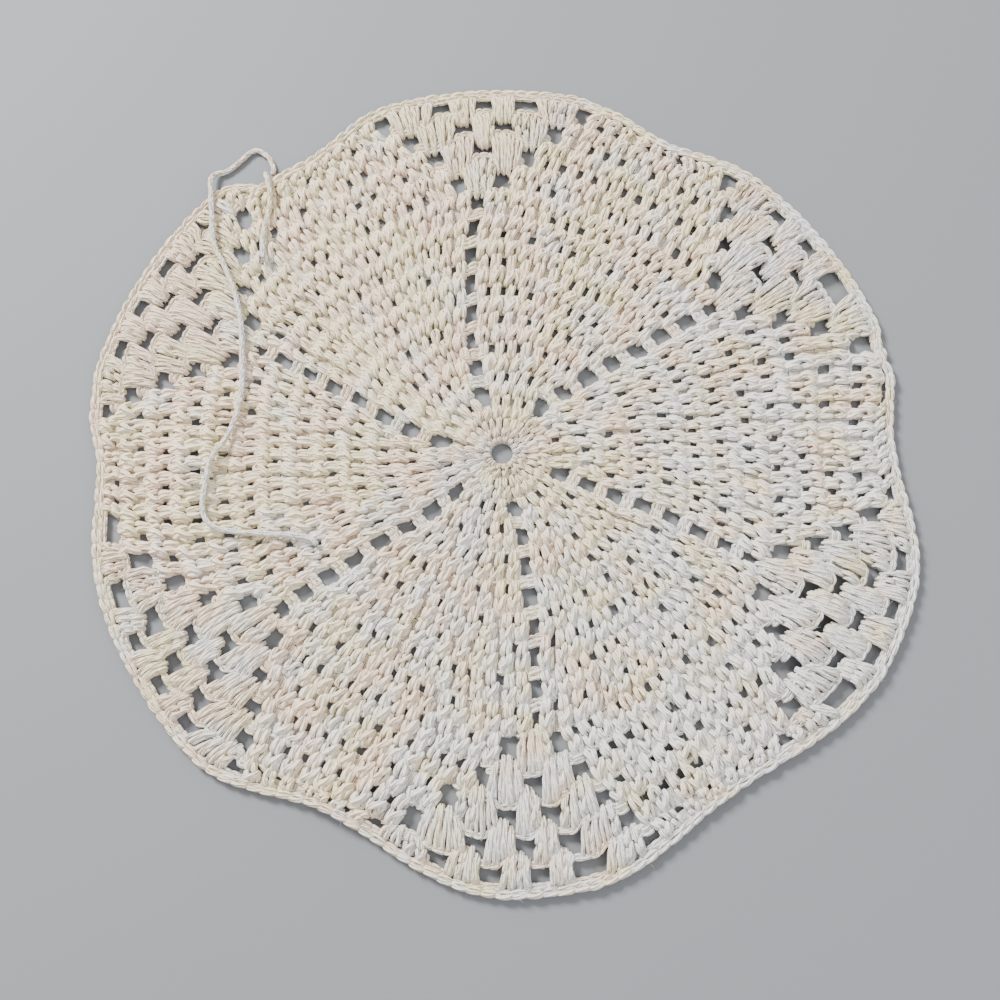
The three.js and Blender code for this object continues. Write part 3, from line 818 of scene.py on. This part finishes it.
def shell_chains(strands, runs):
    """The chain along the top of each shell that has a flat gap over it."""
    for run in runs:
        if run.round < ROUNDS:
            chain_strands(strands, lambda a: top_reach(run.round, a), run.start[4], run.end[4], SHELL_CHAIN)


def route_line(route):
    """Evenly spaced points along a smooth curve through a route, in millimetres, and the curve's length."""
    fine = smooth_lines(np.asarray([route], dtype=float), 24 * len(route))[0]
    length = np.concatenate([[0], np.cumsum(np.linalg.norm(np.diff(fine, axis=0), axis=1))])
    even = np.linspace(0, length[-1], int(length[-1] / YARN_STEP))
    return np.stack([np.interp(even, length, fine[:, axis]) for axis in range(3)], axis=-1), length[-1]


def twisted_yarn(name, route, diameter, seed):
    """Loose yarn along a route, as plies twisted round each other."""
    line, length = route_line(route)
    side, other = across_lines(line[None])
    turn = 2 * np.pi * np.linspace(0, length, len(line)) / PLY_PITCH
    strands = Strands(seed)
    for ply in range(PLIES):
        angle = (turn + 2 * np.pi * ply / PLIES)[:, None]
        place = line + PLY_ASIDE * diameter * (np.cos(angle) * side + np.sin(angle) * other)
        strands.add(place, PLY_RADIUS * diameter, len(line) - 1, 6, LOOSE_TINT)
    return strands.mesh(name), line, length


def frayed_tip(name, line, seed):
    """The fibres that have come loose at a cut end."""
    strands = Strands(seed + 10)
    tip, forward = line[-1], unit(line[-1] - line[-4])
    aside = unit(np.cross(forward, UP))
    steps = np.array([-1.5, 0.0, 0.5, 1.0])[:, None]
    curl = np.array([0.0, 0.15, 0.6, 1.0])[:, None]
    for _ in range(TIP_FIBRES):
        spread, rise = strands.chance.uniform(-0.8, 0.8), strands.chance.uniform(-0.3, 0.4)
        reach = strands.chance.uniform(1.2, 2.6)
        place = tip + forward * reach * steps * 0.7 + aside * spread * curl + UP * rise * curl
        strands.add(place[None], TIP_FIBRE, 6, 5, TIP_TINT)
    return strands.mesh(name)


# ---- The ground behind the stitches ----


def ground_cells(run, places, quads, chance):
    """The thin layer of one run, open at the foot of a sector's round between some of its stitches."""
    across = np.array([0, *(i + part for i in range(run.count) for part in (0.25, 0.75)), run.count])
    if not run.circle:
        inset = GROUND_MARGIN / max(run.width(0.5) / run.count, 1.0)
        across = np.clip(across, inset, run.count - inset)
    grid = np.stack([run.place(across, share, GROUND_HEIGHT - run.puff) for share in GROUND_SHARES])
    tall = run.tall(across)
    first = len(places)
    places.extend(grid.reshape(-1, 3))
    for row in range(len(GROUND_SHARES) - 1):
        for column in range(len(across) - 1):
            pinhole = row == 0 and column % 2 == 0 and chance.uniform() < run.openness
            narrow = across[column + 1] - across[column] < GROUND_LEAST_WIDTH
            if pinhole or narrow or min(tall[column], tall[column + 1]) < GROUND_LEAST_HEIGHT:
                continue
            a = first + row * len(across) + column
            quads.append((a, a + 1, a + len(across) + 1, a + len(across)))


# ---- Finish ----


def connect(tree, node, inputs):
    """Gives each input of a node its value, or the output of another node to follow."""
    for socket, value in inputs.items():
        if isinstance(value, bpy.types.NodeSocket):
            tree.links.new(value, node.inputs[socket])
        else:
            node.inputs[socket].default_value = value


def shader_node(tree, kind, output, inputs, **setup):
    """The output of a new shader node."""
    node = tree.nodes.new("ShaderNode" + kind)
    for name, value in setup.items():
        setattr(node, name, value)
    connect(tree, node, inputs)
    return node.outputs[output]


def blend(tree, factor, *stops):
    """The colour at a factor between two stops, each a place and a colour."""
    node = tree.nodes.new("ShaderNodeValToRGB")
    for element, (place, colour) in zip(node.color_ramp.elements, stops):
        element.position = place
        element.color = colour
    connect(tree, node, {"Fac": factor})
    return node.outputs["Color"]


def maths(tree, operation, *values):
    return shader_node(tree, "Math", "Value", dict(enumerate(values)), operation=operation)


def cotton_material(settings):
    """Soft-spun cotton, warm and cool in patches, a little other at each stitch, with fibres, and plies whose
    grooves carry painted shade.
    """
    material = bpy.data.materials.new(COTTON)
    material.use_nodes = True
    tree = material.node_tree
    place = shader_node(tree, "TexCoord", "Object", {})

    # The warm cast comes in patches, most of them at the upper left, and changes a little between stitches
    patches = shader_node(tree, "TexNoise", "Fac", {"Vector": place, "Scale": 88.0, "Detail": 2.0})
    slope = shader_node(tree, "VectorMath", "Value", {0: place, 1: (-1.1, 0.9, 0.0)}, operation="DOT_PRODUCT")
    leaning = maths(tree, "ADD", patches, slope)
    tint = shader_node(tree, "Attribute", "Fac", {}, attribute_name="tint")
    warmth = maths(tree, "MULTIPLY_ADD", tint, 0.13, leaning)
    cast = blend(tree, warmth, (0.36, BLACK), (0.63, WHITE))

    # The warm patches are peach in some places and straw in others
    hue = shader_node(tree, "TexNoise", "Fac", {"Vector": place, "Scale": 55.0, "Detail": 1.0})
    warm = blend(tree, hue, (0.42, settings.peach), (0.58, settings.straw))
    tones = {"Factor": cast, "A": settings.cool, "B": warm}
    tone = shader_node(tree, "Mix", "Result", tones, data_type="RGBA")

    # Fine fibres, a little lighter and darker
    fibre = shader_node(tree, "TexNoise", "Fac", {"Vector": place, "Scale": 900.0, "Detail": 3.0})
    spread = {"From Min": 0.3, "From Max": 0.7, "To Min": 0.84, "To Max": 1.05}
    shade = shader_node(tree, "MapRange", "Result", {"Value": fibre, **spread})

    # Plies run slantwise round the yarn: bumped, and with painted shade in the grooves between them
    parts = tree.nodes.new("ShaderNodeSeparateXYZ")
    connect(tree, parts, {"Vector": shader_node(tree, "UVMap", "UV", {}, uv_map="yarn")})
    length, way_round = parts.outputs["X"], parts.outputs["Y"]
    along = maths(tree, "MULTIPLY", length, 1.0 / (settings.twist / MM))
    turns = maths(tree, "MULTIPLY_ADD", way_round, PLIES, along)
    wave = maths(tree, "SINE", maths(tree, "MULTIPLY", turns, 2 * math.pi))
    # Painted shade and highlight: the colour falls to 0.82 in the grooves between plies and rises to 1.03 on
    # their crowns
    depth = {"From Min": -1.0, "To Min": 0.82, "To Max": 1.03}
    ply = shader_node(tree, "MapRange", "Result", {"Value": wave, **depth})

    # The fibres' random tone times the plies' painted groove shade
    fibre_tone_and_groove_shade = maths(tree, "MULTIPLY", shade, ply)
    colour = shader_node(tree, "VectorMath", "Vector", {0: tone, "Scale": fibre_tone_and_groove_shade}, operation="SCALE")
    plies = shader_node(tree, "Bump", "Normal", {"Height": wave, "Strength": 0.8, "Distance": 0.0003})
    rough = {"Height": fibre, "Strength": 0.6, "Distance": 0.0004}
    fibres = shader_node(tree, "Bump", "Normal", {**rough, "Normal": plies})
    connect(tree, tree.nodes["Principled BSDF"], {
        "Base Color": colour,
        "Normal": fibres,
        "Roughness": 0.92,
        "Specular IOR Level": 0.25,
        "Sheen Weight": settings.fuzz,
        "Sheen Roughness": 0.6,
        "Sheen Tint": (1.0, 0.98, 0.95, 1.0),
    })
    return material


def cotton():
    """The yarn's finish, made once and shared by every piece."""
    return bpy.data.materials.get(COTTON) or cotton_material(bpy.context.scene.doily_yarn)


def new_object(context, name, data):
    thing = bpy.data.objects.new(name, data)
    context.scene.collection.objects.link(thing)
    return thing


def add_piece(context, name, mesh, *nodes):
    """A finished piece in the scene: cotton, riding on the doily's one body, in place of these CAD nodes."""
    piece = new_object(context, name, mesh)
    mesh.materials.append(cotton())
    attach(piece, "root")
    if nodes:
        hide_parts(*nodes)
    return piece


def add_stitches(context, name, strands, fuzz=FUZZ):
    add_fibres(strands, fuzz)
    add_piece(context, name, strands.mesh(name), "doily")


# ---- The add-on's settings ----


class DoilyYarnSettings(bpy.types.PropertyGroup):
    """The yarn that the doily is worked in."""

    leg: bpy.props.FloatProperty(
        name="Worked yarn", description="Radius of the yarn where it is pulled into a stitch",
        default=0.0009, min=0.0003, max=0.002, unit="LENGTH", precision=5,
    )
    loose: bpy.props.FloatProperty(
        name="Loose yarn", description="Diameter of the yarn where it lies loose",
        default=0.0018, min=0.0005, max=0.004, unit="LENGTH", precision=4,
    )
    twist: bpy.props.FloatProperty(
        name="Twist", description="Length of yarn from one ply to the next",
        default=0.0048, min=0.0005, max=0.02, unit="LENGTH", precision=4,
    )
    fuzz: bpy.props.FloatProperty(
        name="Fuzz", description="Strength of the soft sheen of loose fibres",
        default=0.35, min=0.0, max=1.0, subtype="FACTOR",
    )
    peach: bpy.props.FloatVectorProperty(
        name="Peach cast", description="Cotton where it is a little pink",
        default=(0.98, 0.76, 0.56, 1.0), **COLOUR,
    )
    straw: bpy.props.FloatVectorProperty(
        name="Straw cast", description="Cotton where it is a little yellow",
        default=(0.95, 0.81, 0.52, 1.0), **COLOUR,
    )
    cool: bpy.props.FloatVectorProperty(
        name="Cool cast", description="Cotton where it is a little grey",
        default=(0.895, 0.865, 0.815, 1.0), **COLOUR,
    )


class DoilyStageSettings(bpy.types.PropertyGroup):
    """The table and the light."""

    floor: bpy.props.FloatVectorProperty(
        name="Floor", description="Colour of the plain floor",
        default=(0.19, 0.195, 0.205, 1.0), **COLOUR,
    )
    window: bpy.props.FloatProperty(
        name="Window", description="Power of the soft light from the upper left",
        default=48.5, min=0.0, unit="POWER",
    )
    room: bpy.props.FloatProperty(
        name="Room", description="Strength of the light from all round", default=0.9, min=0.0, max=5.0,
    )


# ---- The add-on's operators ----


class DOILY_OT_stage(bpy.types.Operator):
    """Add the plain floor, the soft lights and the camera above the doily's near side"""

    bl_idname = "doily.stage"
    bl_label = "Table, light and camera"

    def execute(self, context):
        settings = context.scene.doily_stage
        bpy.ops.mesh.primitive_plane_add(size=FLOOR_SIZE, location=(0, 0, 0))
        floor = context.object
        floor.name = "floor"
        bpy.ops.object.mode_set(mode="EDIT")
        bpy.ops.mesh.subdivide(number_cuts=3)
        bpy.ops.object.mode_set(mode="OBJECT")
        paint = bpy.data.materials.new("floor_paint")
        paint.use_nodes = True
        tree = paint.node_tree
        connect(tree, tree.nodes["Principled BSDF"], {"Base Color": settings.floor, "Roughness": 0.75})
        floor.data.materials.append(paint)

        for lamp in LAMPS:
            light = bpy.data.lights.new(lamp.name, "AREA")
            light.size = lamp.size
            light.energy = lamp.share * settings.window
            stand = new_object(context, lamp.name, light)
            stand.location = lamp.at
            stand.rotation_euler = (-stand.location).to_track_quat("-Z", "Y").to_euler()
        world = bpy.data.worlds.new("room")
        world.use_nodes = True
        tree = world.node_tree
        connect(tree, tree.nodes["Background"], {"Color": SKY, "Strength": settings.room})
        context.scene.world = world

        view = bpy.data.cameras.new("camera")
        view.lens = CAMERA_LENS
        view.sensor_width = 36.0
        view.clip_start = 0.01
        camera = new_object(context, "camera", view)
        camera.location = CAMERA_AT
        camera.rotation_euler = (math.atan2(CAMERA_FORWARD[1], -CAMERA_FORWARD[2]), 0.0, 0.0)
        context.scene.camera = camera
        return {"FINISHED"}


class DOILY_OT_loose_yarn(bpy.types.Operator):
    """Add the uncut tail of yarn that lies over the doily, and the short end beside it"""

    bl_idname = "doily.loose_yarn"
    bl_label = "Loose yarn"

    def execute(self, context):
        diameter = context.scene.doily_yarn.loose
        for name, node, route, seed in (
            ("tail_yarn", "yarn_tail", TAIL_ROUTE, 71),
            ("end_yarn", "yarn_end", END_ROUTE, 72),
        ):
            mesh, line, length = twisted_yarn(name, route, diameter / MM, seed)
            yarn = add_piece(context, name, mesh, node)
            fluff = add_piece(context, name + "_fluff", frayed_tip(name + "_fluff", line, seed))
        return {"FINISHED"}


class DOILY_OT_ground(bpy.types.Operator):
    """Add the thin ground of the cloth, which fills the work behind the stitches"""

    bl_idname = "doily.ground"
    bl_label = "Ground"

    def execute(self, context):
        places, quads = [], []
        chance = np.random.default_rng(81)
        for run in all_runs():
            ground_cells(run, places, quads, chance)
        mesh = bpy.data.meshes.new("ground")
        places = (np.array(places) + (*RING_AT, 0)) * MM
        mesh.from_pydata(places.tolist(), [], quads)
        ground = add_piece(context, "ground", mesh, "doily")
        bpy.ops.object.select_all(action="DESELECT")
        ground.select_set(True)
        context.view_layer.objects.active = ground
        bpy.ops.object.mode_set(mode="EDIT")
        bpy.ops.mesh.select_all(action="SELECT")
        bpy.ops.mesh.remove_doubles(threshold=0.00002)
        bpy.ops.mesh.delete_loose(use_verts=True, use_edges=True, use_faces=False)
        bpy.ops.object.mode_set(mode="OBJECT")
        modifier = ground.modifiers.new("thickness", "SOLIDIFY")
        modifier.thickness = GROUND_THICKNESS * MM
        modifier.offset = 1.0
        bpy.ops.object.modifier_apply(modifier=modifier.name)
        ground.data.uv_layers.new(name="yarn")
        return {"FINISHED"}


class DOILY_OT_medallion(bpy.types.Operator):
    """Add the two tiers of stitches round the centre ring"""

    bl_idname = "doily.medallion"
    bl_label = "Medallion"

    def execute(self, context):
        yarn = context.scene.doily_yarn.leg / MM
        ring = MEDALLION_RADII[0] + RING_CHAIN_ASIDE
        strands = Strands(5)
        for tier in TIERS:
            stitch_strands(strands, medallion_run(tier), tier.yarn * yarn, tier.size)
        chain_strands(strands, lambda a: np.full_like(a, ring), 0, 360, RING_CHAIN, closed=True)
        add_stitches(context, "medallion", strands)
        return {"FINISHED"}


class DOILY_OT_sectors(bpy.types.Operator):
    """Add the six sectors of plain rounds and the spokes of gaps between them"""

    bl_idname = "doily.sectors"
    bl_label = "Sectors"

    def execute(self, context):
        yarn = context.scene.doily_yarn.leg / MM
        for k in range(len(SPOKES)):
            strands = Strands(11 + k)
            for n in range(1, ROUNDS + 1):
                stitch_strands(strands, sector_run(k, n), yarn)
            for n in range(1, SPOKE_ROUNDS + 1):
                gap_chains(strands, fan_row(k, n))
            add_stitches(context, f"sector_{k + 1}", strands)
        return {"FINISHED"}


class DOILY_OT_fans(bpy.types.Operator):
    """Add the six fans of shells that open out at the ends of the spokes"""

    bl_idname = "doily.fans"
    bl_label = "Fans"

    def execute(self, context):
        yarn = context.scene.doily_yarn.leg / MM
        for k in range(len(SPOKES)):
            strands = Strands(31 + k)
            for n in range(SPOKE_ROUNDS + 1, ROUNDS + 1):
                runs = shell_runs(k, n)
                for run in runs:
                    stitch_strands(strands, run, SHELL_YARN * yarn)
                shell_chains(strands, runs)
                gap_chains(strands, fan_row(k, n))
            add_stitches(context, f"fan_{k + 1}", strands)
        return {"FINISHED"}


class DOILY_OT_edging(bpy.types.Operator):
    """Add the braid along the rim"""

    bl_idname = "doily.edging"
    bl_label = "Edging"

    def execute(self, context):
        strands = Strands(61)
        chain_strands(strands, lambda a: edge(ROUNDS, a) - 0.5 * BRAID, 0, 360, EDGE_CHAIN, closed=True)
        add_stitches(context, "edging", strands, 3 * FUZZ)
        return {"FINISHED"}


class DOILY_PT_panel(bpy.types.Panel):
    """The doily's sizes and colours, and the steps that make it."""

    bl_idname = "DOILY_PT_panel"
    bl_label = "Crocheted doily"
    bl_space_type = "VIEW_3D"
    bl_region_type = "UI"
    bl_category = "Doily"

    def draw(self, context):
        for settings in (context.scene.doily_yarn, context.scene.doily_stage):
            for name in settings.bl_rna.properties.keys():
                if name not in ("rna_type", "name"):
                    self.layout.prop(settings, name)
        for step in STEPS:
            self.layout.operator(step.bl_idname)


SETTINGS = {"doily_yarn": DoilyYarnSettings, "doily_stage": DoilyStageSettings}
STEPS = (
    DOILY_OT_stage,
    DOILY_OT_loose_yarn,
    DOILY_OT_medallion,
    DOILY_OT_sectors,
    DOILY_OT_fans,
    DOILY_OT_edging,
    DOILY_OT_ground,
)


def register():
    for kind in (*SETTINGS.values(), *STEPS, DOILY_PT_panel):
        bpy.utils.register_class(kind)
    for name, kind in SETTINGS.items():
        setattr(bpy.types.Scene, name, bpy.props.PointerProperty(type=kind))


def unregister():
    for name in SETTINGS:
        delattr(bpy.types.Scene, name)
    for kind in reversed((*SETTINGS.values(), *STEPS, DOILY_PT_panel)):
        bpy.utils.unregister_class(kind)


def main():
    register()
    bpy.ops.object.select_all(action="DESELECT")
    bpy.ops.doily.stage()
    bpy.ops.doily.loose_yarn()
    bpy.ops.doily.medallion()
    bpy.ops.doily.sectors()
    bpy.ops.doily.fans()
    bpy.ops.doily.edging()
    bpy.ops.doily.ground()


if __name__ == "__main__":
    main()
